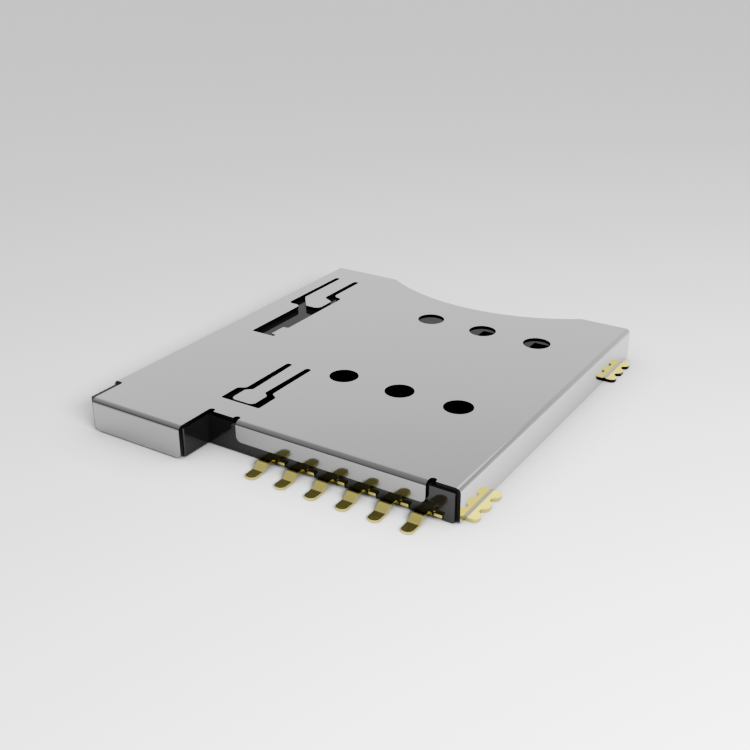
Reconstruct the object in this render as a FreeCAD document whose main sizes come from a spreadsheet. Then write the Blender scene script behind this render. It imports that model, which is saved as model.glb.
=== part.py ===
"""
Push-push sim card socket for surface mounting, in millimetres, +Z up.
The origin is on the board under the middle of the outline; the card goes in from +Y and moves toward -Y.
The steel cover, the moulded housing and the six contacts stand still. The slider moves 1.65 mm toward -Y
against its coil spring, and the bent wire link turns about its pin in the housing floor.
"""
import math
import os
import re

import FreeCAD, Part
import Sketcher

# Sizes that can be set by themselves.
SIZES = {
    "cover_width": 15.26,
    "cover_depth": 17.25,
    "socket_height": 1.37,
    "sheet_thickness": 0.15,
    "bend_radius": 0.05,
    "wall_gap": 0.07,
    "corner_setback": 0.49,
    "block_width": 4.27,
    "left_wall_setback": 1.65,
    "notch_setback": 1.62,
    "recess_setback": 1.41,
    "relief_setback": 1.80,
    "relief_width": 0.26,
    "recess_inset": 6.21,
    "recess_width": 7.86,
    "recess_bottom": 0.57,
    "wall_corner_radius": 0.22,
    "arc_centre": 0.57,
    "arc_depth": 1.52,
    "arc_radius": 8.35,
    "arc_blend": 0.30,
    "hole_radius": 0.58,
    "contact_pitch": 2.54,
    "first_column": -0.25,
    "near_row": -1.925,
    "row_spacing": 6.97,
    "foot_reach": 0.43,
    "foot_length": 2.02,
    "foot_bend": 0.08,
    "foot_near": 1.98,
    "foot_far": 14.46,
    "foot_first_notch": 0.60,
    "foot_notch_pitch": 0.80,
    "foot_notch_width": 0.20,
    "foot_notch_mouth": 0.44,
    "foot_notch_depth": 0.20,
    "foot_notch_radius": 0.10,
    "foot_tip_radius": 0.19,
    # The long spring finger and its window, from the window's far left corner.
    "window_inset": 0.80,
    "window_setback": 1.35,
    "window_width": 1.82,
    "window_length": 7.495,
    "window_step": 0.66,
    "window_step_drop": 3.94,
    "window_flare": 2.175,
    "window_flare_end": 2.285,
    "finger_slot": 0.24,
    "finger_outer_slot": 0.27,
    "finger_width": 0.82,
    "finger_length": 2.555,
    "finger_shoulder": 2.785,
    "finger_head_side": 2.955,
    "finger_head_length": 3.82,
    "finger_head_width": 1.60,
    "finger_tip_left": 0.91,
    "tab_width": 0.25,
    "tab_top": 6.445,
    "tab_bottom": 7.305,
    # The short spring finger, from the far left end of its slots.
    "short_x": 4.79,
    "short_y": 6.495,
    "short_slot": 0.26,
    "short_root_width": 0.68,
    "short_end_width": 0.57,
    "short_head_width": 1.05,
    "short_length": 2.63,
    "short_shoulder": 2.84,
    "short_head_length": 3.69,
    "short_end_gap": 0.125,
    "short_flare_left": 2.65,
    "short_flare_right": 2.59,
    "short_flare_drop": 0.17,
    "short_flare_width": 0.30,
    # The rounding of both windows.
    "window_corner_radius": 0.08,
    "slot_end_radius": 0.11,
    "neck_radius": 0.10,
    "flare_radius": 0.16,
    "head_radius": 0.22,
    "shoulder_radius": 0.28,
    # The housing.
    "side_gap": 0.02,
    "front_gap": 0.07,
    "rear_gap": 0.15,
    "roof_gap": 0.02,
    "floor_top": 0.30,
    "rim_width": 0.31,
    "rim_lift": 0.07,
    "outer_edge_radius": 0.06,
    "block_wall": 0.25,
    "block_side_wall": 0.29,
    "front_wall": 0.245,
    "face_relief": 0.04,
    "card_width": 12.0,
    "card_gap": 0.10,
    "card_chamfer": 2.5,
    "lead_in": 0.25,
    "standoff_radius": 0.35,
    "standoff_side": 1.0,
    "standoff_end": 1.0,
    # The contacts.
    "strip_thickness": 0.10,
    "strip_lift": 0.03,
    "stub_top": 0.30,
    "tail_width": 0.44,
    "tail_reach": 1.18,
    "tail_bend_reach": 0.35,
    "tail_bend_run": 0.25,
    "tail_bend_lag": 0.055,
    "tail_bend_radius": 0.15,
    "tail_tip_radius": 0.2,
    "near_tail": 0.26,
    "far_tail": 1.53,
    "shoulder_reach": 0.12,
    "shoulder_end": 0.34,
    "shoulder_gap": 0.07,
    "shoulder_tab": 0.30,
    "head_end": 0.585,
    "head_lap": 0.12,
    "head_neck": 0.32,
    "beam_width": 0.44,
    "beam_length": 2.68,
    "beam_flat": 0.30,
    "crown_top": 0.86,
    "crown_half": 0.20,
    "crown_drop": 0.06,
    "crown_radius": 0.34,
    "beam_end": 0.42,
    "lane_centre": 1.20,
    "lane_width": 0.30,
    "cross_width": 0.40,
    "slot_side": 0.42,
    "slot_wide_side": 1.07,
    "slot_end": 0.55,
    "far_slot_end": 2.35,
    # The slider, its spring and its link.
    "slide_gap": 0.03,
    "slider_top": 1.17,
    "slider_bottom_gap": 0.02,
    "slider_width": 1.95,
    "slider_rear": 0.90,
    "slider_edge_radius": 0.12,
    "lock_travel": 1.35,
    "over_travel": 0.30,
    "stop_gap": 0.04,
    "spring_inset": 0.45,
    "spring_radius": 0.25,
    "spring_wire": 0.05,
    "spring_gap": 0.05,
    "spring_turns": 11,
    "spring_seat": 3.80,
    "link_wire": 0.14,
    "link_gap": 0.05,
    "link_lift": 0.05,
    "link_length": 2.31,
    "link_swing": 0.50,
    "link_side": 2.00,
    "link_end": 0.325,
    "link_bend": 0.20,
    "pin_gap": 0.02,
    "cam_depth": 0.28,
    "cam_margin": 0.06,
    "heart_width": 0.24,
    "heart_notch": 0.16,
}

# Sizes that follow from the ones above.
DERIVED = {
    "side": "cover_width / 2",
    "rear": "cover_depth / 2",
    "front": "-cover_depth / 2",
    "bend_line": "bend_radius + sheet_thickness",
    "plate_under": "socket_height - sheet_thickness",
    "block_left": "-side + corner_setback",
    "block_right": "block_left + block_width",
    "left_wall_end": "front + left_wall_setback",
    "notch_edge": "front + notch_setback",
    "recess_face": "front + recess_setback",
    "relief_end": "front + relief_setback",
    "recess_left": "-side + recess_inset",
    "recess_right": "recess_left + recess_width",
    "foot_top": "sheet_thickness + foot_bend",
    "foot_tip": "side + foot_reach",
    "foot_near_start": "front + foot_near",
    "foot_far_start": "front + foot_far",
    "far_row": "near_row + row_spacing",
    "window_x": "-side + window_inset",
    "window_y": "rear - window_setback",
    "window_right": "window_x + window_width",
    "finger_right": "window_x + finger_slot + finger_width",
    "finger_b_x": "-side + short_x",
    "finger_b_y": "front + short_y",
    "finger_b_mid": "finger_b_x + short_slot + short_root_width / 2",
    "housing_side": "side - sheet_thickness - side_gap",
    "housing_rear": "rear - rear_gap",
    "block_face": "front + sheet_thickness + front_gap",
    "block_side": "block_right + side_gap",
    "housing_face": "recess_face + sheet_thickness - side_gap",
    "housing_top": "plate_under - roof_gap",
    "rim_inner": "-housing_side + rim_width",
    "block_front_inner": "block_face + block_wall",
    "block_side_inner": "block_side - block_side_wall",
    "face_inner": "housing_face + front_wall",
    "travel": "lock_travel + over_travel",
    "slider_left": "rim_inner + slide_gap",
    "slider_right": "slider_left + slider_width",
    "slider_low": "floor_top + slider_bottom_gap",
    "slider_front": "block_front_inner + stop_gap + travel",
    "slider_back": "rear - slider_rear",
    "arm_end": "block_side_inner - slide_gap",
    "card_left": "slider_right + card_gap",
    "card_right": "card_left + card_width",
    "card_front": "face_inner + stop_gap + travel",
    "push_line": "card_left + card_front + card_chamfer",
    "strip_low": "wall_gap + strip_lift",
    "strip_high": "strip_low + strip_thickness",
    "stub_low": "stub_top - strip_thickness",
    "head_inner": "housing_face + head_end",
    "lane_start": "head_inner - head_lap",
    "shoulder_front": "housing_face - shoulder_reach",
    "near_root": "near_row - beam_length",
    "far_root": "far_row - beam_length",
    "spring_x": "slider_left + spring_inset",
    "spring_z": "slider_low + spring_radius + spring_wire + spring_gap / 2",
    "spring_room": "spring_radius + spring_wire + spring_gap",
    "spring_back": "slider_front + spring_seat",
    "link_x": "slider_left + link_side",
    "link_y": "block_front_inner + link_end",
    "link_z": "floor_top + link_lift + link_wire",
    "link_low": "wall_gap + pin_gap",
    "link_roof": "link_z + link_wire + link_gap",
    "link_top": "link_roof + cam_depth - link_gap",
    "cam_roof": "link_roof + cam_depth",
    "cam_half": "link_wire + cam_margin",
    "tip_right": "link_x + link_swing / 2",
    "tip_left": "link_x - link_swing / 2",
    "tip_y": "link_y + sqrt(link_length * link_length - link_swing * link_swing / 4)",
    "tip_far": "tip_y + travel",
}

WORD = re.compile(r"[a-z_][a-z_0-9]*")

# Facets of the spring: rings of points in one turn, and corners of each ring.
COIL_STEPS = 12
WIRE_SIDES = 6

doc =FreeCAD.newDocument("sim_socket")
sizes = doc.addObject("Spreadsheet::Sheet", "sizes")


def bound(text):
    """Name the sheet before each size in an expression."""
    def one(match):
        word = match.group(0)
        return "sizes." + word if word in SIZES or word in DERIVED else word
    return WORD.sub(one, text)


def fill_sheet():
    row = 1
    for name, value in SIZES.items():
        sizes.set(f"A{row}", name)
        sizes.set(f"B{row}", str(value))
        sizes.setAlias(f"B{row}", name)
        row += 1
    doc.recompute()
    for name, text in DERIVED.items():
        sizes.set(f"A{row}", name)
        sizes.set(f"B{row}", "=" + text)
        sizes.setAlias(f"B{row}", name)
        row += 1
    doc.recompute()


def value(text):
    return float(sizes.evalExpression(bound(text)))


def new_body(name):
    body = doc.addObject("PartDesign::Body", name)
    body.Label = name
    body.Placement = FreeCAD.Placement()
    return body


def new_sketch(body, plane, offset="0"):
    """A sketch on one of the body's planes, moved along the plane's normal."""
    sketch = body.newObject("Sketcher::SketchObject", body.Name + "_sketch")
    role = plane + "_Plane"
    base = [item for item in body.Origin.OriginFeatures if item.Role == role][0]
    sketch.AttachmentSupport = [(base, "")]
    sketch.MapMode = "FlatFace"
    if offset != "0":
        sketch.setExpression("AttachmentOffset.Base.z", bound(offset))
    return sketch


def hold(sketch, kind, *places, text):
    index = sketch.addConstraint(Sketcher.Constraint(kind, *places, value(text)))
    sketch.setExpression(f"Constraints[{index}]", bound(text))


def hold_point(sketch, geometry, point, x, y):
    """Tie a point to the sketch's origin in both directions."""
    for kind, text in (("DistanceX", x), ("DistanceY", y)):
        hold(sketch, kind, -1, 1, geometry, point, text=text)


def loop(sketch, corners, closed=True):
    """
    Draw a chain of edges through the corners. A corner is (x, y), and the edge that leaves it is straight,
    or (x, y, radius, turn), and that edge is an arc that turns left for turn 1 and right for turn -1.
    """
    spots = [FreeCAD.Vector(value(c[0]), value(c[1]), 0) for c in corners]
    count = len(corners) if closed else len(corners) - 1
    edges = []
    for i in range(count):
        start = spots[i]
        end = spots[(i + 1) % len(spots)]
        if len(corners[i]) == 2:
            edges.append((sketch.addGeometry(Part.LineSegment(start, end)), 1, 2))
            continue
        radius = value(corners[i][2])
        turn = corners[i][3]
        chord = end - start
        middle = (start + end) / 2
        away = math.sqrt(max(radius ** 2 - chord.Length ** 2 / 4, 0.0))
        left = FreeCAD.Vector(-chord.y, chord.x, 0) / chord.Length
        centre = middle + left * away * turn
        first, last = (start, end) if turn > 0 else (end, start)
        angles = [math.atan2(p.y - centre.y, p.x - centre.x) for p in (first, last)]
        circle = Part.Circle(centre, FreeCAD.Vector(0, 0, 1), radius)
        geometry = sketch.addGeometry(Part.ArcOfCircle(circle, angles[0], angles[1]))
        edges.append((geometry, 1, 2) if turn > 0 else (geometry, 2, 1))
    for i in range(count if closed else count - 1):
        this = edges[i]
        after = edges[(i + 1) % count]
        sketch.addConstraint(Sketcher.Constraint("Coincident", this[0], this[2], after[0], after[1]))
    for i in range(count):
        hold_point(sketch, edges[i][0], edges[i][1], corners[i][0], corners[i][1])
        if len(corners[i]) > 2:
            hold(sketch, "Radius", edges[i][0], text=corners[i][2])
    if not closed:
        hold_point(sketch, edges[-1][0], edges[-1][2], corners[-1][0], corners[-1][1])


def box_loop(sketch, left, low, right, high):
    loop(sketch, [(left, low), (right, low), (right, high), (left, high)])


def circle(sketch, x, y, radius):
    centre = FreeCAD.Vector(value(x), value(y), 0)
    geometry = sketch.addGeometry(Part.Circle(centre, FreeCAD.Vector(0, 0, 1), value(radius)))
    hold_point(sketch, geometry, 3, x, y)
    hold(sketch, "Radius", geometry, text=radius)


def pad(body, sketch, length):
    feature = body.newObject("PartDesign::Pad", body.Name + "_pad")
    feature.Profile = sketch
    feature.setExpression("Length", bound(length))
    sketch.Visibility = False
    body.Tip = feature
    doc.recompute()
    return feature


def pocket(body, sketch, length, forward=False):
    """Cut away from the sketch, against its normal or forward along it."""
    before = body.Tip.Shape.Volume
    feature = body.newObject("PartDesign::Pocket", body.Name + "_pocket")
    feature.Profile = sketch
    feature.Reversed = forward
    feature.setExpression("Length", bound(length))
    sketch.Visibility = False
    body.Tip = feature
    doc.recompute()
    if not feature.Shape.Volume < before:
        raise RuntimeError(f"{feature.Name} cuts nothing")
    return feature


def edges_along(body, axis, spots):
    """The names of the straight edges that run along an axis through the given spots across it."""
    across = {"X": ("y", "z"), "Y": ("x", "z"), "Z": ("x", "y")}[axis]
    wanted = [(value(a), value(b)) for a, b in spots]
    names = []
    for number, edge in enumerate(body.Tip.Shape.Edges, 1):
        if len(edge.Vertexes) != 2 or edge.Curve.TypeId != "Part::GeomLine":
            continue
        start, end = (v.Point for v in edge.Vertexes)
        if any(abs(getattr(start, c) - getattr(end, c)) > 1e-5 for c in across):
            continue
        if any(math.dist([getattr(start, c) for c in across], spot) < 2e-3 for spot in wanted):
            names.append(f"Edge{number}")
    if len(names) < len(wanted):
        raise RuntimeError(f"{body.Name}: {len(names)} of {len(wanted)} edges found along {axis}")
    return names


def fillet(body, axis, spots, radius):
    names = edges_along(body, axis, spots)
    base = body.Tip
    feature = body.newObject("PartDesign::Fillet", body.Name + "_fillet")
    feature.Base = (base, names)
    feature.setExpression("Radius", bound(radius))
    body.Tip = feature
    doc.recompute()
    return feature


def chamfer(body, axis, spots, size):
    names = edges_along(body, axis, spots)
    base = body.Tip
    feature = body.newObject("PartDesign::Chamfer", body.Name + "_chamfer")
    feature.Base = (base, names)
    feature.setExpression("Size", bound(size))
    body.Tip = feature
    doc.recompute()
    return feature


def bent_wall(body, plane, face, inward, bottom, offset, length):
    """A wall with its bend: its outer face lies at face and the plate lies on the side that inward points to."""
    sign = "+" if inward > 0 else "-"
    sketch = new_sketch(body, plane, offset)
    inner = f"{face} {sign} sheet_thickness"
    line = f"{face} {sign} bend_line"
    loop(sketch, [
        (line, "socket_height", "bend_line", inward),
        (face, "socket_height - bend_line"),
        (face, bottom),
        (inner, bottom),
        (inner, "socket_height - bend_line", "bend_radius", -inward),
        (line, "plate_under"),
    ])
    return pad(body, sketch, length)


def solder_foot(body, sign, start):
    """A foot turned out from a side wall, with its bend, starting at y = start."""
    mark = "" if sign > 0 else "-"
    sketch = new_sketch(body, "XZ", f"-({start} + foot_length)")
    loop(sketch, [
        (f"{mark}side", "foot_top", "foot_bend", sign),
        (f"{mark}(side + foot_bend)", "sheet_thickness"),
        (f"{mark}foot_tip", "sheet_thickness"),
        (f"{mark}foot_tip", "0"),
        (f"{mark}(side + foot_bend)", "0", "foot_top", -sign),
        (f"{mark}(side - sheet_thickness)", "foot_top"),
    ])
    pad(body, sketch, "foot_length")


def make_cover():
    body = new_body("cover")
    plate = new_sketch(body, "XY", "plate_under")
    loop(plate, [
        ("side - bend_line", "rear"),
        ("-(side - bend_line)", "rear"),
        ("-(side - bend_line)", "left_wall_end"),
        ("block_left", "left_wall_end"),
        ("block_left", "front + bend_line"),
        ("block_right", "front + bend_line"),
        ("block_right", "relief_end"),
        ("block_right + relief_width", "relief_end"),
        ("block_right + relief_width", "notch_edge"),
        ("recess_left - relief_width", "notch_edge"),
        ("recess_left - relief_width", "relief_end"),
        ("recess_left", "relief_end"),
        ("recess_left", "recess_face + bend_line"),
        ("recess_right", "recess_face + bend_line"),
        ("recess_right", "relief_end"),
        ("recess_right + relief_width", "relief_end"),
        ("recess_right + relief_width", "notch_edge"),
        ("side - bend_line", "notch_edge"),
    ])
    pad(body, plate, "sheet_thickness")
    bent_wall(body, "XZ", "side", -1, "wall_gap", "-rear", "rear - notch_edge")
    bent_wall(body, "XZ", "-side", 1, "wall_gap", "-rear", "rear - left_wall_end")
    bent_wall(body, "YZ", "front", 1, "wall_gap", "block_left", "block_width")
    bent_wall(body, "YZ", "recess_face", 1, "recess_bottom", "recess_left", "recess_width")
    fillet(body, "Y", [("block_left", "wall_gap"), ("block_right", "wall_gap"),
                       ("recess_left", "recess_bottom"), ("recess_right", "recess_bottom")],
           "wall_corner_radius")
    fillet(body, "X", [("notch_edge", "wall_gap"), ("left_wall_end", "wall_gap")], "wall_corner_radius / 2")

    # Round relief ends.
    fillet(body, "Z", [(x, "relief_end") for x in (
        "block_right", "block_right + relief_width", "recess_left - relief_width",
        "recess_left", "recess_right", "recess_right + relief_width")], "relief_width / 2 - 0.005")
    fillet(body, "Z", [("block_left", "left_wall_end")], "relief_width / 2")

    # Solder feet on both side walls, with two notches each.
    gap = new_sketch(body, "YZ", "foot_tip")
    for start in ("foot_near_start", "foot_far_start"):
        box_loop(gap, start, "-foot_top", f"{start} + foot_length", "foot_top")
    pocket(body, gap, "foot_tip * 2")
    for start in ("foot_near_start", "foot_far_start"):
        solder_foot(body, 1, start)
        solder_foot(body, -1, start)
    notches = new_sketch(body, "XY", "sheet_thickness")
    roots = []
    tips = []
    for start in ("foot_near_start", "foot_far_start"):
        for number in range(2):
            middle = f"{start} + foot_first_notch + foot_notch_pitch * {number}"
            for mark in ("", "-"):
                root = [(f"{mark}(foot_tip - foot_notch_depth)", f"{middle} {way} foot_notch_width / 2")
                        for way in "-+"]
                mouth = [(f"{mark}foot_tip", f"{middle} {way} foot_notch_mouth / 2") for way in "+-"]
                beyond = [(f"{mark}(foot_tip + foot_notch_depth)", y) for x, y in mouth]
                loop(notches, [*root, mouth[0], *beyond, mouth[1]])
                roots += root
                tips += mouth
        for mark in ("", "-"):
            tips += [(f"{mark}foot_tip", start), (f"{mark}foot_tip", f"{start} + foot_length")]
    pocket(body, notches, "sheet_thickness")
    fillet(body, "Z", roots, "foot_notch_radius")
    fillet(body, "Z", tips, "foot_tip_radius")

    # Holes over the contacts and the arc cut-out at the card end.
    holes = new_sketch(body, "XY", "socket_height")
    for row in ("near_row", "far_row"):
        for column in range(3):
            circle(holes, f"first_column + contact_pitch * {column}", row, "hole_radius")
    pocket(body, holes, "sheet_thickness")
    arc = new_sketch(body, "XY", "socket_height")
    circle(arc, "arc_centre", "rear - arc_depth + arc_radius", "arc_radius")
    pocket(body, arc, "sheet_thickness")
    half = "sqrt(arc_radius * arc_radius - (arc_radius - arc_depth) * (arc_radius - arc_depth))"
    fillet(body, "Z", [(f"arc_centre - {half}", "rear"), (f"arc_centre + {half}", "rear")], "arc_blend")

    # The long finger over the slider.
    cut = new_sketch(body, "XY", "socket_height")
    corners = [
        ("window_x", "window_y"),
        ("window_x", "window_y - window_step_drop"),
        ("window_x + window_step", "window_y - window_step_drop"),
        ("window_x + window_step", "window_y - window_length"),
        ("window_right", "window_y - window_length"),
        ("window_right", "window_y - tab_bottom"),
        ("window_right - tab_width", "window_y - tab_bottom"),
        ("window_right - tab_width", "window_y - tab_top"),
        ("window_right", "window_y - tab_top"),
        ("window_right", "window_y - window_flare_end"),
        ("finger_right + finger_outer_slot", "window_y - window_flare"),
        ("finger_right + finger_outer_slot", "window_y"),
        ("finger_right", "window_y"),
        ("finger_right", "window_y - finger_length"),
        ("window_x + finger_head_width", "window_y - finger_shoulder"),
        ("window_x + finger_head_width", "window_y - finger_head_length"),
        ("window_x + finger_tip_left", "window_y - finger_head_length"),
        ("window_x + finger_slot", "window_y - finger_head_side"),
        ("window_x + finger_slot", "window_y"),
    ]
    loop(cut, corners)
    pocket(body, cut, "sheet_thickness")
    for radius, numbers in (("slot_end_radius", (0, 11, 12, 18)), ("window_corner_radius", range(3, 9)),
                            ("flare_radius", (9, 14, 16, 17)), ("head_radius", (1, 2)),
                            ("shoulder_radius", (10, 13, 15))):
        fillet(body, "Z", [corners[i] for i in numbers], radius)

    # The short finger over the card.
    cut = new_sketch(body, "XY", "socket_height")
    root = "short_root_width / 2"
    end = "short_end_width / 2"
    head = "short_head_width / 2"
    slot_left = f"finger_b_mid - {root} - short_slot"
    slot_right = f"finger_b_mid + {root} + short_slot"
    corners = [
        (slot_left, "finger_b_y"),
        (slot_left, "finger_b_y - short_flare_left"),
        (f"{slot_left} - short_flare_width", "finger_b_y - short_flare_left - short_flare_drop"),
        (f"{slot_left} - short_flare_width", "finger_b_y - short_head_length - short_end_gap"),
        (f"{slot_right} + short_flare_width", "finger_b_y - short_head_length - short_end_gap"),
        (f"{slot_right} + short_flare_width", "finger_b_y - short_flare_right - short_flare_drop"),
        (slot_right, "finger_b_y - short_flare_right"),
        (slot_right, "finger_b_y"),
        (f"finger_b_mid + {root}", "finger_b_y"),
        (f"finger_b_mid + {end}", "finger_b_y - short_length"),
        (f"finger_b_mid + {head}", "finger_b_y - short_shoulder"),
        (f"finger_b_mid + {head}", "finger_b_y - short_head_length"),
        (f"finger_b_mid - {head}", "finger_b_y - short_head_length"),
        (f"finger_b_mid - {head}", "finger_b_y - short_shoulder"),
        (f"finger_b_mid - {end}", "finger_b_y - short_length"),
        (f"finger_b_mid - {root}", "finger_b_y"),
    ]
    loop(cut, corners)
    pocket(body, cut, "sheet_thickness")
    for radius, numbers in (("slot_end_radius", (0, 7, 8, 15)), ("window_corner_radius", (3, 4)),
                            ("flare_radius", (1, 2, 5, 6)), ("neck_radius", (9, 10, 13, 14)),
                            ("head_radius", (11, 12))):
        fillet(body, "Z", [corners[i] for i in numbers], radius)
    return body


def tail_x(row, column):
    return f"first_column + contact_pitch * {column} + {row}_tail"


def make_housing():
    body = new_body("housing")
    outline = new_sketch(body, "XY", "wall_gap")
    loop(outline, [
        ("-housing_side", "housing_rear"),
        ("-housing_side", "block_face"),
        ("block_side", "block_face"),
        ("block_side", "housing_face"),
        ("housing_side", "housing_face"),
        ("housing_side", "housing_rear"),
    ])
    pad(body, outline, "housing_top - wall_gap")
    cavity = new_sketch(body, "XY", "housing_top")
    loop(cavity, [
        ("rim_inner", "housing_rear + card_gap"),
        ("rim_inner", "block_front_inner"),
        ("block_side_inner", "block_front_inner"),
        ("block_side_inner", "face_inner"),
        ("card_right + card_gap", "face_inner"),
        ("card_right + card_gap", "housing_rear + card_gap"),
    ])
    pocket(body, cavity, "housing_top - floor_top")
    chamfer(body, "Z", [("card_right + card_gap", "housing_rear"), ("rim_inner", "housing_rear")], "lead_in")
    chamfer(body, "X", [("housing_rear", "floor_top")], "lead_in / 2")

    # Room behind the recess wall of the cover, and the rim that fills the cover's open corner.
    face = new_sketch(body, "XZ", "-(housing_face + face_relief)")
    box_loop(face, "recess_left - face_relief", "recess_bottom - side_gap",
             "recess_right + face_relief", "socket_height")
    pocket(body, face, "face_relief", forward=True)
    rim = new_sketch(body, "XY", "housing_top")
    box_loop(rim, "-housing_side", "block_face", "block_left - face_relief", "left_wall_end - relief_width / 2")
    pad(body, rim, "rim_lift")
    fillet(body, "Z", [("-housing_side", "block_face"), ("block_side", "block_face")], "outer_edge_radius")

    # Slots under the contact beams, and channels for the strips in the underside.
    slots = new_sketch(body, "XY", "floor_top")
    for column in range(3):
        middle = f"first_column + contact_pitch * {column}"
        box_loop(slots, f"{middle} - slot_side", "near_root + beam_flat - slot_end",
                 f"{middle} + slot_side", "near_row + slot_end")
        wide = "slot_side" if column == 0 else "slot_wide_side"
        box_loop(slots, f"{middle} - {wide}", "far_root + beam_flat - slot_end",
                 f"{middle} + slot_side", "far_row + far_slot_end")
    pocket(body, slots, "floor_top - wall_gap")
    heads = new_sketch(body, "XY", "stub_top")
    for column in range(3):
        for row in ("near", "far"):
            middle = tail_x(row, column)
            box_loop(heads, f"{middle} - tail_width / 2", "housing_face - shoulder_reach",
                     f"{middle} + shoulder_end + shoulder_gap + shoulder_tab", "head_inner")
    pocket(body, heads, "stub_top - wall_gap")
    channels = new_sketch(body, "XY", "strip_high")
    for column in range(3):
        loop(channels, near_strip(column))
        loop(channels, far_strip(column))
    pocket(body, channels, "strip_high - wall_gap")

    # Standoffs and the pin hole of the link.
    feet = new_sketch(body, "XY")
    for x, y in (("-housing_side + standoff_side", "block_face + standoff_end"),
                 ("-housing_side + standoff_side", "housing_rear - standoff_end"),
                 ("housing_side - standoff_side / 2", "housing_face + standoff_end * 2"),
                 ("housing_side - standoff_side", "housing_rear - standoff_end")):
        circle(feet, x, y, "standoff_radius")
    pad(body, feet, "wall_gap")
    pin = new_sketch(body, "XY", "floor_top")
    circle(pin, "link_x", "link_y", "link_wire + pin_gap")
    pocket(body, pin, "floor_top - wall_gap")
    return body


def near_strip(column):
    """Outline of the buried strip of a near contact."""
    middle = f"first_column + contact_pitch * {column}"
    tail = tail_x("near", column)
    wide = f"{tail} + shoulder_end + shoulder_gap + shoulder_tab"
    return [
        (f"{middle} - beam_width / 2", "lane_start"),
        (wide, "lane_start"),
        (wide, "lane_start + head_neck"),
        (f"{middle} + beam_width / 2", "lane_start + head_neck"),
        (f"{middle} + beam_width / 2", "near_root"),
        (f"{middle} - beam_width / 2", "near_root"),
    ]


def far_strip(column):
    """Outline of the buried strip of a far contact, which runs between the columns and crosses to its own."""
    middle = f"first_column + contact_pitch * {column}"
    tail = tail_x("far", column)
    wide = f"{tail} + shoulder_end + shoulder_gap + shoulder_tab"
    left = f"{middle} + lane_centre - lane_width / 2"
    right = f"{middle} + lane_centre + lane_width / 2"
    return [
        (left, "lane_start"),
        (wide, "lane_start"),
        (wide, "lane_start + head_neck"),
        (right, "lane_start + head_neck"),
        (right, "far_root"),
        (f"{middle} - beam_width / 2", "far_root"),
        (f"{middle} - beam_width / 2", "far_root - cross_width"),
        (left, "far_root - cross_width"),
    ]


def make_contact(name, row, column):
    body = new_body(name)
    middle = f"first_column + contact_pitch * {column}"
    tail = tail_x(row, column)
    strip = new_sketch(body, "XY", "strip_low")
    loop(strip, near_strip(column) if row == "near" else far_strip(column))
    pad(body, strip, "strip_thickness")

    # The head in the front wall: the tail's stub, a shoulder and the cut strip end beside it.
    head = new_sketch(body, "XY", "stub_low")
    gap = "shoulder_front + shoulder_reach + shoulder_gap"
    loop(head, [
        (f"{tail} - tail_width / 2", "head_inner"),
        (f"{tail} - tail_width / 2", "shoulder_front"),
        (f"{tail} + shoulder_end", "shoulder_front"),
        (f"{tail} + shoulder_end", gap),
        (f"{tail} + shoulder_end + shoulder_gap", gap),
        (f"{tail} + shoulder_end + shoulder_gap", "shoulder_front"),
        (f"{tail} + shoulder_end + shoulder_gap + shoulder_tab", "shoulder_front"),
        (f"{tail} + shoulder_end + shoulder_gap + shoulder_tab", "head_inner"),
    ])
    pad(body, head, "strip_thickness")
    profile = new_sketch(body, "YZ", f"{tail} - tail_width / 2")
    bend = "shoulder_front - tail_bend_reach"
    tip = "shoulder_front - tail_reach"
    corners = [
        ("housing_face", "stub_top"),
        (bend, "stub_top"),
        (f"{bend} - tail_bend_run", "strip_thickness"),
        (tip, "strip_thickness"),
        (tip, "0"),
        (f"{bend} - tail_bend_run + tail_bend_lag", "0"),
        (f"{bend} + tail_bend_lag", "stub_low"),
        ("housing_face", "stub_low"),
    ]
    loop(profile, corners)
    pad(body, profile, "tail_width")
    fillet(body, "X", [corners[2], corners[6]], "tail_bend_radius")
    fillet(body, "X", [corners[1], corners[5]], "tail_bend_radius + strip_thickness")
    fillet(body, "Z", [(f"{tail} {mark} tail_width / 2", tip) for mark in "+-"], "tail_tip_radius")

    # The spring beam with its crown under the hole.
    beam = new_sketch(body, "YZ", f"{middle} - beam_width / 2")
    root = f"{row}_root"
    here = f"{row}_row"
    crown = "crown_top - crown_drop"
    under = f"{crown} - strip_thickness"
    loop(beam, [
        (f"{root} - beam_flat / 2", "strip_high"),
        (f"{root} - beam_flat / 2", "strip_low"),
        (f"{root} + beam_flat", "strip_low"),
        (f"{here} - crown_half + strip_thickness / 4", under, "crown_radius - strip_thickness", -1),
        (f"{here} + crown_half - strip_thickness / 2", under),
        (f"{here} + beam_end - strip_thickness", f"{under} - beam_end / 2"),
        (f"{here} + beam_end", f"{crown} - beam_end / 2"),
        (f"{here} + crown_half", crown, "crown_radius", 1),
        (f"{here} - crown_half", crown),
        (f"{root} + beam_flat", "strip_high"),
    ])
    pad(body, beam, "beam_width")
    return body


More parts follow.
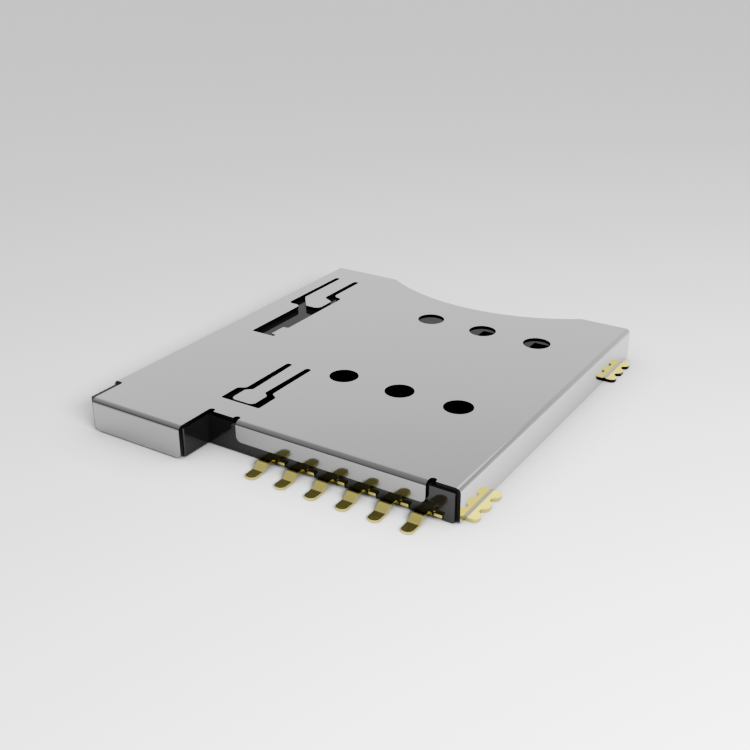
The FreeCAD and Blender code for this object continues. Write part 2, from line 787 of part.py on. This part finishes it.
def make_slider():
    body = new_body("slider")
    outline = new_sketch(body, "XY", "slider_low")
    corners = [
        ("slider_left", "slider_back"),
        ("slider_left", "slider_front"),
        ("arm_end", "slider_front"),
        ("arm_end", "push_line - arm_end"),
        ("slider_right", "push_line - slider_right"),
        ("slider_right", "slider_back"),
    ]
    loop(outline, corners)
    pad(body, outline, "slider_top - slider_low")
    fillet(body, "Z", [corners[i] for i in (0, 1, 2, 3, 5)], "slider_edge_radius")

    # The spring's pocket, the link's recess and the cam groove with its heart, all from below.
    hollow = new_sketch(body, "XY", "slider_low")
    box_loop(hollow, "spring_x - spring_room", "slider_front - spring_gap", "spring_x + spring_room", "spring_back")
    pocket(body, hollow, "spring_z + spring_room - slider_low", forward=True)
    room = new_sketch(body, "XY", "slider_low")
    left = "tip_left - heart_width - cam_half * 2.4"
    right = "tip_right + cam_half"
    box_loop(room, left, "slider_front - spring_gap", right, "tip_far + cam_half")
    pocket(body, room, "link_roof - slider_low", forward=True)
    groove = new_sketch(body, "XY", "link_roof")
    loop(groove, [
        (right, "tip_y - cam_half"),
        (right, "tip_y + cam_half / 2"),
        ("tip_left + cam_half", "tip_far + cam_half / 2"),
        ("tip_left + cam_half / 2", "tip_far + cam_half"),
        (left, "tip_far + cam_half"),
        (left, "tip_y + lock_travel / 3"),
        ("tip_right - cam_half", "tip_y - cam_half"),
    ])
    heart = "tip_left - cam_half * 1.05"
    top = "tip_y + lock_travel - cam_half / 3"
    slope = "link_swing / travel"
    loop(groove, [
        (f"{heart} + (travel - lock_travel) * {slope}", top),
        (f"{heart} - heart_width / 2 + (travel - lock_travel) * {slope}", f"{top} - heart_notch"),
        (f"{heart} - heart_width + (travel - lock_travel) * {slope}", top),
        (f"{heart} - heart_width + (travel - lock_travel) * {slope}", "tip_y + lock_travel / 2"),
        (f"{heart} + (travel - lock_travel / 4) * {slope}", "tip_y + lock_travel / 4"),
    ])
    pocket(body, groove, "cam_depth", forward=True)
    return body


def make_spring():
    """
    The coil spring, with a closed turn at each end. Its wire is drawn in flat facets between rings of points
    along the coil, because a smooth helix has far too fine a mesh for so small a piece.
    """
    coil = value("spring_radius")
    wire = value("spring_wire")
    turns = round(value("spring_turns"))
    middle_x = value("spring_x")
    middle_z = value("spring_z")
    seat = value("block_front_inner + spring_gap")
    length = value("spring_back - spring_gap") - seat - wire * 2
    closed = wire * 2.2
    pitch = (length - closed * 2) / (turns - 2)
    points = []
    for step in range(turns * COIL_STEPS + 1):
        turn = step / COIL_STEPS
        open_turns = min(max(turn - 1, 0), turns - 2)
        along = seat + wire + open_turns * pitch + (turn - open_turns) * closed
        around = 2 * math.pi * turn
        for corner in range(WIRE_SIDES):
            lean = 2 * math.pi * corner / WIRE_SIDES
            reach = coil + wire * math.cos(lean)
            points.append(FreeCAD.Vector(middle_x + reach * math.cos(around), along + wire * math.sin(lean),
                                         middle_z + reach * math.sin(around)))
    facets = []
    for ring in range(0, len(points) - WIRE_SIDES, WIRE_SIDES):
        for corner in range(WIRE_SIDES):
            a = ring + corner
            b = ring + (corner + 1) % WIRE_SIDES
            facets.append((a, b, b + WIRE_SIDES))
            facets.append((a, b + WIRE_SIDES, a + WIRE_SIDES))
    last = len(points) - WIRE_SIDES
    for corner in range(1, WIRE_SIDES - 1):
        facets.append((0, corner + 1, corner))
        facets.append((last, last + corner, last + corner + 1))
    skin = Part.Shape()
    skin.makeShapeFromMesh((points, facets), wire / 1000)
    spring = doc.addObject("Part::Feature", "slider_spring")
    spring.Label = "slider_spring"
    spring.Shape = Part.makeSolid(skin)
    spring.Placement = FreeCAD.Placement()
    return spring


def make_link():
    """The bent wire link, drawn along its own +Y from the pin and then turned to meet the cam groove."""
    body = new_body("cam_link")
    path = new_sketch(body, "YZ")
    loop(path, [
        ("0", "link_low"),
        ("0", "link_z - link_bend", "link_bend", -1),
        ("link_bend", "link_z"),
        ("link_length - link_bend", "link_z", "link_bend", 1),
        ("link_length", "link_z + link_bend"),
        ("link_length", "link_top"),
    ], closed=False)
    ring = new_sketch(body, "XY", "link_low")
    circle(ring, "0", "0", "link_wire")
    wire = body.newObject("PartDesign::AdditivePipe", "wire")
    wire.Profile = ring
    wire.Spine = path
    body.Tip = wire
    doc.recompute()
    body.setExpression("Placement.Base.x", bound("link_x"))
    body.setExpression("Placement.Base.y", bound("link_y"))
    body.setExpression("Placement.Rotation.Angle", bound("-asin(link_swing / 2 / link_length)"))
    doc.recompute()
    return body


fill_sheet()
bodies = [make_cover(), make_housing()]
for column in range(3):
    bodies.append(make_contact(f"contact_c{column + 1}", "near", column))
    bodies.append(make_contact(f"contact_c{column + 5}", "far", column))
bodies += [make_slider(), make_spring(), make_link()]
doc.recompute()

for item in doc.Objects:
    if "Invalid" in item.State or "Error" in item.State:
        raise RuntimeError(f"{item.Name} did not recompute")

os.makedirs("parts", exist_ok=True)
for body in bodies:
    shape = body.Shape
    if shape.isNull() or not shape.isValid() or len(shape.Solids) != 1:
        raise RuntimeError(f"{body.Name} is not one valid solid")
    shape.exportStep(f"parts/{body.Name}.step")
    print(body.Name, round(shape.Volume, 4), [round(v, 3) for v in (
        shape.BoundBox.XMin, shape.BoundBox.XMax, shape.BoundBox.YMin,
        shape.BoundBox.YMax, shape.BoundBox.ZMin, shape.BoundBox.ZMax)])
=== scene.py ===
"""
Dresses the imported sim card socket: rolled stainless cover, glossy black mouldings, gold plated
tails and feet, on a pale studio floor, seen from the photograph's angle.
"""
import math

import bmesh
import bpy
import numpy as np
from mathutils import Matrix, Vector


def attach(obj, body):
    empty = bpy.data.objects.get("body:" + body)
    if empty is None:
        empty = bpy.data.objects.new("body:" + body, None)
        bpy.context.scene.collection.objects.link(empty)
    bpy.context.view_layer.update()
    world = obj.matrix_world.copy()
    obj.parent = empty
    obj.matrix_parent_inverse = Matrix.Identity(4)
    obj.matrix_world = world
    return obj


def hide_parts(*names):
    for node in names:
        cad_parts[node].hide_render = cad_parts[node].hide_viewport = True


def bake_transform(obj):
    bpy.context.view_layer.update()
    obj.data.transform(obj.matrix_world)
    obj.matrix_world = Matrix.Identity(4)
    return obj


MM = 0.001

# The camera: its place, its lens, its film and the nearest it sees, in millimetres, and the
# angles it looks along, in degrees.
CAMERA_PLACE = (20.464, -32.588, 18.805)
CAMERA_AZIMUTH = 32.157
CAMERA_ELEVATION = 25.192
LENS = 50
FILM_WIDTH = 36
NEAREST = 1

# Surfaces: points closer than this many millimetres are one, folds flatter than this many degrees
# are shaded smooth, and wide faces count this much in the shading of their corners.
WELD = 0.0005
SMOOTH_BELOW = 32
WIDE_FACES = 90

# Places on the cover's sheet, in millimetres, that tell its cut edges and its feet from its faces.
SIDE = 7.63
BEND = 0.20
FRONT = -8.625
RECESS = -7.215
RECESS_LEFT = -1.42
RECESS_RIGHT = 6.44
RECESS_SLACK = 0.01
SHEET_TOP = 1.37
FOOT_START = 7.632
FOOT_FLAT = 7.71
FOOT_TOP = 0.24

# A face of the cover looks along an axis where that part of its normal is above the first number,
# straight down where it is beyond the second, and up on a foot where it is above the third.
ALONG = 0.6
DOWN = -0.8
FOOT_UP = 0.5

# The cover's materials, by number: the sheet's faces; its cut edges, coloured almost black as
# painted shade; the satin gold on the feet, painted lighter than the contacts' gold; and the
# mirror gold round the edges of the front feet, painted there as lit edges while the rear feet's
# edges take the painted shade of a cut edge.
FACE, CUT_EDGE, FOOT_FACE, FOOT_EDGE = range(4)

# Patterns of the finishes, in cells of noise per millimetre, and below them how they are squeezed
# along X, Y and Z. On the surface the rolling lines come out 0.07 mm wide and 1.8 mm long, the
# smudges 1.8 mm, the tears of a cut edge 0.07 mm wide and 0.4 mm high, the clouds of the plating
# bath 0.6 mm, the flow marks 0.5 by 1.1 mm, the marks of the die 0.08 mm and the paper's 50 mm.
ROLLING_LINES = 1.6
SMUDGES = 0.55
TEARS = 14.0
BATH_CLOUDS = 1.8
FLOW_MARKS = 2.2
DIE_MARKS = 12.0
PAPER_CLOUDS = 0.02
ROLLED = (9.0, 0.35, 9.0)
TORN = (1.0, 1.0, 0.2)
FLOWED = (1.0, 0.4, 1.0)

# The part of a noise's range that a roughness is spread over, the share of the rolling lines in
# the sheet's, and how much rougher the clouded gold and the flow marks are than the rest.
NOISE_LOW = 0.3
NOISE_HIGH = 0.7
GRAIN_SHARE = 0.35
CLOUD_ROUGHER = 0.06
FLOW_ROUGHER = 0.05

# How far the sheet is turned from the viewer, from 0 for facing to 1 for edge on, where its gloss
# starts and where it is full, and the refractive index of the coats that stand for polish. A coat
# this dense shines almost alike at every angle.
GLOSS_START = 0.30
GLOSS_FULL = 0.57
POLISH_IOR = 3.0

# The floor: how far it reaches each way, in metres, and how far the contact shade reaches round
# whatever stands on it, in millimetres.
FLOOR_REACH = 0.6
CONTACT_SHADE = 2.2

# Brightness of the room that mirrors show: low down, high up, and added right overhead and in the
# window at the back. The last two are the shares of it that are left behind the camera, and again
# near the floor there. Matt surfaces are lit by an even dome instead.
ROOM_LOW = 1.62
ROOM_HIGH = 1.05
ROOM_TOP = 0.60
ROOM_WINDOW = 2.5
ROOM_FRONT = 0.62
ROOM_FRONT_LOW = 0.42
DOME = 1.20

# Where the room changes, as the parts of a direction of length one: each pair is the start and
# the end of a change, along X to the right, Y to the back or Z up.
RISE_Z = (0.35, 0.90)
OVERHEAD_Z = (0.90, 0.97)
FRONT_Y = (-0.50, -0.25)
FRONT_LOW_Y = (-0.65, -0.50)
FRONT_LOW_Z = (0.38, 0.48)
WINDOW_LEFT_X = (-0.40, -0.25)
WINDOW_RIGHT_X = (0.35, 0.50)
WINDOW_SILL_Z = (0.56, 0.64)
WINDOW_HEAD_Z = (0.74, 0.82)
WINDOW_BACK_Y = (0.2, 0.4)

# The lamp beside the camera, facing down: its place and width in metres and its power in watts.
LAMP_PLACE = (0.05, -0.03, 0.03)
LAMP_WIDTH = 0.04
LAMP_POWER = 0.32


def linear(code):
    """An sRGB hex colour as linear red, green, blue and alpha."""
    parts = [int(code[i:i + 2], 16) / 255 for i in (1, 3, 5)]
    bent = [c / 12.92 if c <= 0.04045 else ((c + 0.055) / 1.055) ** 2.4 for c in parts]
    return (*bent, 1.0)


def add(tree, kind, settings=None, inputs=None):
    """Adds a node, sets its properties, and fills or links its inputs by name or number."""
    node = tree.nodes.new(kind)
    for key, value in (settings or {}).items():
        setattr(node, key, value)
    for key, value in (inputs or {}).items():
        if isinstance(value, bpy.types.NodeSocket):
            tree.links.new(value, node.inputs[key])
        else:
            node.inputs[key].default_value = value
    return node


def new_material(name, constants):
    """
    A node material with its output and its shader, whose constant inputs are given, and Object
    coordinates in millimetres.
    """
    material = bpy.data.materials.new(name)
    material.use_nodes = True
    tree = material.node_tree
    tree.nodes.clear()
    output = add(tree, "ShaderNodeOutputMaterial")
    shader = add(tree, "ShaderNodeBsdfPrincipled", None, constants)
    tree.links.new(shader.outputs[0], output.inputs["Surface"])
    place = add(tree, "ShaderNodeTexCoord")
    scale = add(tree, "ShaderNodeVectorMath", {"operation": "SCALE"},
                {0: place.outputs["Object"], "Scale": 1 / MM})
    return material, tree, shader, scale.outputs[0]


def wear(tree, shader, sheen, low, high, relief=None, strength=0.0, depth=0.0):
    """
    Lets one pattern vary a shader's roughness from low to high, and another, where there is one,
    stand out in relief by a depth in millimetres.
    """
    rough = add(tree, "ShaderNodeMapRange", None,
                {"Value": sheen, "From Min": NOISE_LOW, "From Max": NOISE_HIGH,
                 "To Min": low, "To Max": high})
    tree.links.new(rough.outputs[0], shader.inputs["Roughness"])
    if relief is not None:
        bump = add(tree, "ShaderNodeBump", None,
                   {"Strength": strength, "Distance": depth * MM, "Height": relief})
        tree.links.new(bump.outputs[0], shader.inputs["Normal"])


def rolled_stainless():
    """
    Cold rolled stainless sheet with a mill polish: a grey mirror whose gloss grows towards a
    glancing angle, with faint rolling lines along the strip and soft smudges.
    """
    material, tree, shader, place = new_material(
        "rolled_stainless", {"Base Color": linear("#757575"), "Metallic": 1.0,
                             "Coat IOR": POLISH_IOR, "Coat Roughness": 0.08})
    lines = add(tree, "ShaderNodeMapping", None, {"Vector": place, "Scale": ROLLED})
    grain = add(tree, "ShaderNodeTexNoise", None,
                {"Vector": lines.outputs[0], "Scale": ROLLING_LINES, "Detail": 5.0,
                 "Roughness": 0.62})
    smudge = add(tree, "ShaderNodeTexNoise", None,
                 {"Vector": place, "Scale": SMUDGES, "Detail": 3.0, "Roughness": 0.5})
    blend = add(tree, "ShaderNodeMix", {"data_type": "FLOAT"},
                {"Factor": GRAIN_SHARE, "A": smudge.outputs["Fac"], "B": grain.outputs["Fac"]})
    wear(tree, shader, blend.outputs[0], low=0.07, high=0.11,
         relief=grain.outputs["Fac"], strength=0.015, depth=0.003)
    glance = add(tree, "ShaderNodeLayerWeight", None, {"Blend": 0.5})
    gloss = add(tree, "ShaderNodeMapRange", None,
                {"Value": glance.outputs["Facing"], "From Min": GLOSS_START,
                 "From Max": GLOSS_FULL})
    tree.links.new(gloss.outputs[0], shader.inputs["Coat Weight"])
    return material


def sheared_edge_painted_dark():
    """
    The punched edge of the sheet: torn dull metal, its colour painted almost black for the shade
    that falls in the holes and along the cut edges, so it reads almost black beside the polished
    face, with fine streaks down its height.
    """
    material, tree, shader, place = new_material(
        "sheared_edge_painted_dark", {"Metallic": 1.0, "Roughness": 0.45})
    tear = add(tree, "ShaderNodeMapping", None, {"Vector": place, "Scale": TORN})
    streaks = add(tree, "ShaderNodeTexNoise", None,
                  {"Vector": tear.outputs[0], "Scale": TEARS, "Detail": 3.0, "Roughness": 0.6})
    # Painted shade: the edge's colour runs only from near black to very dark grey, far darker than
    # bare steel; the streaks are real tears.
    tint = add(tree, "ShaderNodeMix", {"data_type": "RGBA"},
               {"Factor": streaks.outputs["Fac"], "A": linear("#0b0b0b"),
                "B": linear("#191919")})
    bump = add(tree, "ShaderNodeBump", None,
               {"Strength": 0.3, "Distance": 0.01 * MM, "Height": streaks.outputs["Fac"]})
    tree.links.new(tint.outputs["Result"], shader.inputs["Base Color"])
    tree.links.new(bump.outputs[0], shader.inputs["Normal"])
    return material


def gold_plating(name, code, metal, smooth):
    """Electroplated gold over a stamped strip, slightly clouded by the plating bath."""
    material, tree, shader, place = new_material(
        name, {"Base Color": linear(code), "Metallic": metal, "Specular IOR Level": 0.2})
    cloud = add(tree, "ShaderNodeTexNoise", None,
                {"Vector": place, "Scale": BATH_CLOUDS, "Detail": 4.0, "Roughness": 0.55})
    wear(tree, shader, cloud.outputs["Fac"], low=smooth, high=smooth + CLOUD_ROUGHER,
         relief=cloud.outputs["Fac"], strength=0.03, depth=0.003)
    return material


def black_lcp(name, code, smooth):
    """
    Moulded liquid crystal polymer: jet black with a thin even gloss, and the faint flow marks of
    a thin moulding.
    """
    material, tree, shader, place = new_material(
        name, {"Base Color": linear(code), "IOR": 1.10, "Coat Weight": 0.09,
               "Coat IOR": POLISH_IOR, "Coat Roughness": smooth})
    flow = add(tree, "ShaderNodeMapping", None, {"Vector": place, "Scale": FLOWED})
    marks = add(tree, "ShaderNodeTexNoise", None,
                {"Vector": flow.outputs[0], "Scale": FLOW_MARKS, "Detail": 5.0,
                 "Roughness": 0.6})
    wear(tree, shader, marks.outputs["Fac"], low=smooth, high=smooth + FLOW_ROUGHER,
         relief=marks.outputs["Fac"], strength=0.05, depth=0.005)
    return material


def spring_wire():
    """Drawn stainless wire: bright, with fine marks of the die along it."""
    material, tree, shader, place = new_material(
        "spring_wire", {"Base Color": linear("#c4c3c0"), "Metallic": 1.0})
    marks = add(tree, "ShaderNodeTexNoise", None,
                {"Vector": place, "Scale": DIE_MARKS, "Detail": 3.0, "Roughness": 0.6})
    wear(tree, shader, marks.outputs["Fac"], low=0.22, high=0.34)
    return material


def studio_floor():
    """Pale matt studio paper, darker in the soft contact shade of whatever stands on it."""
    material, tree, shader, place = new_material(
        "studio_floor", {"Roughness": 0.9, "Specular IOR Level": 0.1})
    fibre = add(tree, "ShaderNodeTexNoise", None,
                {"Vector": place, "Scale": PAPER_CLOUDS, "Detail": 2.0})
    tint = add(tree, "ShaderNodeMix", {"data_type": "RGBA"},
               {"Factor": fibre.outputs["Fac"], "A": linear("#e9e9e9"),
                "B": linear("#ebebeb")})
    shade = add(tree, "ShaderNodeAmbientOcclusion", {"samples": 4},
                {"Color": tint.outputs["Result"], "Distance": CONTACT_SHADE * MM})
    tree.links.new(shade.outputs["Color"], shader.inputs["Base Color"])
    return material


def skin(node, name, body, materials, pick=None):
    """
    A copy of a CAD node whose triangles are merged into one surface, shaded smooth over its flat
    folds. pick takes the middles of the faces, in millimetres, and their normals, and gives each
    face the number of its material. A piece given one body rides on it. A piece given two bodies
    is attached to neither and is not stretched between them.
    """
    sheet = bmesh.new()
    sheet.from_mesh(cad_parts[node].data)
    bmesh.ops.remove_doubles(sheet, verts=sheet.verts, dist=WELD * MM)
    for fold in sheet.edges:
        fold.smooth = (len(fold.link_faces) == 2
                       and fold.calc_face_angle(math.pi) < math.radians(SMOOTH_BELOW))
    for face in sheet.faces:
        face.smooth = True
    mesh = bpy.data.meshes.new(name)
    sheet.to_mesh(mesh)
    sheet.free()
    for material in materials:
        mesh.materials.append(material)
    if pick is not None:
        middles, normals = np.empty((2, len(mesh.polygons) * 3), np.float32)
        mesh.polygons.foreach_get("center", middles)
        mesh.polygons.foreach_get("normal", normals)
        numbers = pick(middles.reshape(-1, 3) / MM, normals.reshape(-1, 3))
        mesh.polygons.foreach_set("material_index", np.asarray(numbers, np.int32))
    piece = bpy.data.objects.new(name, mesh)
    bpy.context.scene.collection.objects.link(piece)
    weighted = piece.modifiers.new("even_normals", "WEIGHTED_NORMAL")
    weighted.keep_sharp = True
    weighted.weight = WIDE_FACES
    if isinstance(body, str):
        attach(piece, body)
    else:
        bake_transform(piece)
    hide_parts(node)


def cover_faces(middles, normals):
    """
    The number of each face's material. The sheet's own faces look up on the plate, across the fold
    line on each wall, and up on the feet; every other face is a cut edge. The edges of the rear
    feet get the cut edge's near-black as painted shade. The edges of the front feet get the mirror
    gold as painted light. So the same kind of edge reads shaded at the back and lit at the front.
    """
    x, y, z = middles.T
    nx, ny, nz = np.abs(normals).T
    side_wall = np.abs(x) > SIDE - BEND
    front_wall = (y < FRONT + BEND) & ~side_wall
    recess_wall = ((y < RECESS + BEND) & (x > RECESS_LEFT - RECESS_SLACK)
                   & (x < RECESS_RIGHT + RECESS_SLACK) & ~side_wall)
    wall = side_wall | front_wall | recess_wall
    end = np.where(side_wall, ny > ALONG, np.where(wall, nx > ALONG, nz < ALONG))
    underside = (normals[:, 2] < DOWN) & wall & (z < SHEET_TOP - 2 * BEND)
    foot = (np.abs(x) > FOOT_START) & (z < FOOT_TOP)
    foot_flat = foot & (np.abs(x) > FOOT_FLAT)
    foot_side = foot_flat & (nz < FOOT_UP)
    numbers = np.full(len(x), FACE)
    numbers[end | underside] = CUT_EDGE
    numbers[foot_flat] = FOOT_FACE
    # Painted shade: the side edges of the rear feet take the near-black cut edge.
    numbers[foot_side & (y > 0)] = CUT_EDGE
    # Painted light: the edges of the front feet take the mirror gold.
    numbers[(foot_side | foot & (ny > ALONG)) & (y < 0)] = FOOT_EDGE
    return numbers


def make_floor():
    """A flat square of paper: its four corners are the grid of its two plane directions."""
    mesh = bpy.data.meshes.new("floor")
    u, v = np.meshgrid((-FLOOR_REACH, FLOOR_REACH), (-FLOOR_REACH, FLOOR_REACH))
    points = np.stack([u.ravel(), v.ravel(), np.zeros(4)], 1)
    mesh.from_pydata(points.tolist(), [], [(0, 1, 3, 2)])
    mesh.materials.append(studio_floor())
    floor = bpy.data.objects.new("floor", mesh)
    bpy.context.scene.collection.objects.link(floor)


def make_camera():
    """The camera, at the photograph's height and angle."""
    azimuth = math.radians(CAMERA_AZIMUTH)
    elevation = math.radians(CAMERA_ELEVATION)
    look = Vector((-math.sin(azimuth) * math.cos(elevation),
                   math.cos(azimuth) * math.cos(elevation),
                   -math.sin(elevation)))
    data = bpy.data.cameras.new("camera")
    data.lens = LENS
    data.sensor_width = FILM_WIDTH
    data.clip_start = NEAREST * MM
    camera = bpy.data.objects.new("camera", data)
    camera.location = Vector(CAMERA_PLACE) * MM
    camera.rotation_euler = look.to_track_quat("-Z", "Y").to_euler()
    bpy.context.scene.collection.objects.link(camera)
    bpy.context.scene.camera = camera


def softly(tree, value, *changes):
    """
    A value times soft steps. Each step gives what it goes by, where it starts and ends, and the
    share of the value before and after it.
    """
    for source, (start, end), before, after in changes:
        share = add(tree, "ShaderNodeMapRange", {"interpolation_type": "SMOOTHSTEP"},
                    {"Value": source, "From Min": start, "From Max": end,
                     "To Min": before, "To Max": after})
        product = add(tree, "ShaderNodeMath", {"operation": "MULTIPLY"},
                      {0: value, 1: share.outputs[0]})
        value = product.outputs[0]
    return value


def make_room():
    """
    The world. Mirrors show a room that is pale low down, grey higher up, dim behind the camera,
    darkest near the floor there, and lit again right overhead, with a bright window at the back.
    Matt surfaces are lit by an even dome.
    """
    world = bpy.data.worlds.new("studio")
    bpy.context.scene.world = world
    world.use_nodes = True
    tree = world.node_tree
    tree.nodes.clear()
    output = add(tree, "ShaderNodeOutputWorld")
    way = add(tree, "ShaderNodeTexCoord")
    split = add(tree, "ShaderNodeSeparateXYZ", None, {"Vector": way.outputs["Generated"]})
    x, y, z = (split.outputs[axis] for axis in "XYZ")
    fade = add(tree, "ShaderNodeMapRange", None,
               {"Value": z, "From Min": RISE_Z[0], "From Max": RISE_Z[1],
                "To Min": ROOM_LOW, "To Max": ROOM_HIGH})
    front_low = softly(tree, 1.0, (y, FRONT_LOW_Y, 1.0, 0.0), (z, FRONT_LOW_Z, 1.0, 0.0))
    level = softly(tree, fade.outputs[0], (y, FRONT_Y, ROOM_FRONT, 1.0),
                   (front_low, (0.0, 1.0), 1.0, ROOM_FRONT_LOW))
    top = softly(tree, ROOM_TOP, (z, OVERHEAD_Z, 0.0, 1.0))
    window = softly(tree, ROOM_WINDOW, (x, WINDOW_LEFT_X, 0.0, 1.0),
                    (x, WINDOW_RIGHT_X, 1.0, 0.0), (z, WINDOW_SILL_Z, 0.0, 1.0),
                    (z, WINDOW_HEAD_Z, 1.0, 0.0), (y, WINDOW_BACK_Y, 0.0, 1.0))
    for extra in (top, window):
        total = add(tree, "ShaderNodeMath", {"operation": "ADD"}, {0: level, 1: extra})
        level = total.outputs[0]
    path = add(tree, "ShaderNodeLightPath")
    seen = add(tree, "ShaderNodeMix", {"data_type": "FLOAT"},
               {"Factor": path.outputs["Is Glossy Ray"], "A": DOME, "B": level})
    light = add(tree, "ShaderNodeBackground", None,
                {"Color": linear("#fefefe"), "Strength": seen.outputs[0]})
    tree.links.new(light.outputs[0], output.inputs["Surface"])


def make_lamp():
    """One low round lamp beside the camera, which no mirror shows."""
    data = bpy.data.lights.new("low_lamp", "AREA")
    data.shape = "DISK"
    data.size = LAMP_WIDTH
    data.energy = LAMP_POWER
    lamp = bpy.data.objects.new("low_lamp", data)
    lamp.location = LAMP_PLACE
    lamp.visible_glossy = False
    lamp.visible_camera = False
    bpy.context.scene.collection.objects.link(lamp)


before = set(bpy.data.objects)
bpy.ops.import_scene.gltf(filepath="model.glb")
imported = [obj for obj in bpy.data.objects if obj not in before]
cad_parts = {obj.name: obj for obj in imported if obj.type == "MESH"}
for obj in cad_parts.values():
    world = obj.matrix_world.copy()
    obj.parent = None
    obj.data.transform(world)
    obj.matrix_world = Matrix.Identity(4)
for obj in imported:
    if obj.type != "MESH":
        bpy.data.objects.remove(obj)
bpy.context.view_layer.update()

make_camera()
make_room()
make_lamp()
make_floor()

steel = rolled_stainless()
cut_steel_painted_dark = sheared_edge_painted_dark()
gold = gold_plating("gold_plating", "#b0a658", metal=1.0, smooth=0.14)
# The feet are plated satin, so they mirror less and scatter more of the light. Their gold is also
# painted far lighter and yellower than the contacts' as painted light, so the feet read lit beside
# the darker tails.
foot_gold = gold_plating("foot_plating", "#fae83a", metal=0.42, smooth=0.2)
housing_black = black_lcp("black_lcp", "#080808", smooth=0.06)
slider_black = black_lcp("black_lcp_slider", "#0a0a0a", smooth=0.07)
wire = spring_wire()

skin("cover", "cover_sheet", "base", [steel, cut_steel_painted_dark, foot_gold, gold],
     cover_faces)
skin("housing", "housing_moulding", "base", [housing_black])
for number in (1, 2, 3, 5, 6, 7):
    skin(f"contact_c{number}", f"contact_{number}_plated", "base", [gold])
skin("slider", "slider_moulding", "push_piece", [slider_black])
skin("slider_spring", "slider_coil", ("base", "push_piece"), [wire])
skin("cam_link", "link_wire", "link", [wire])
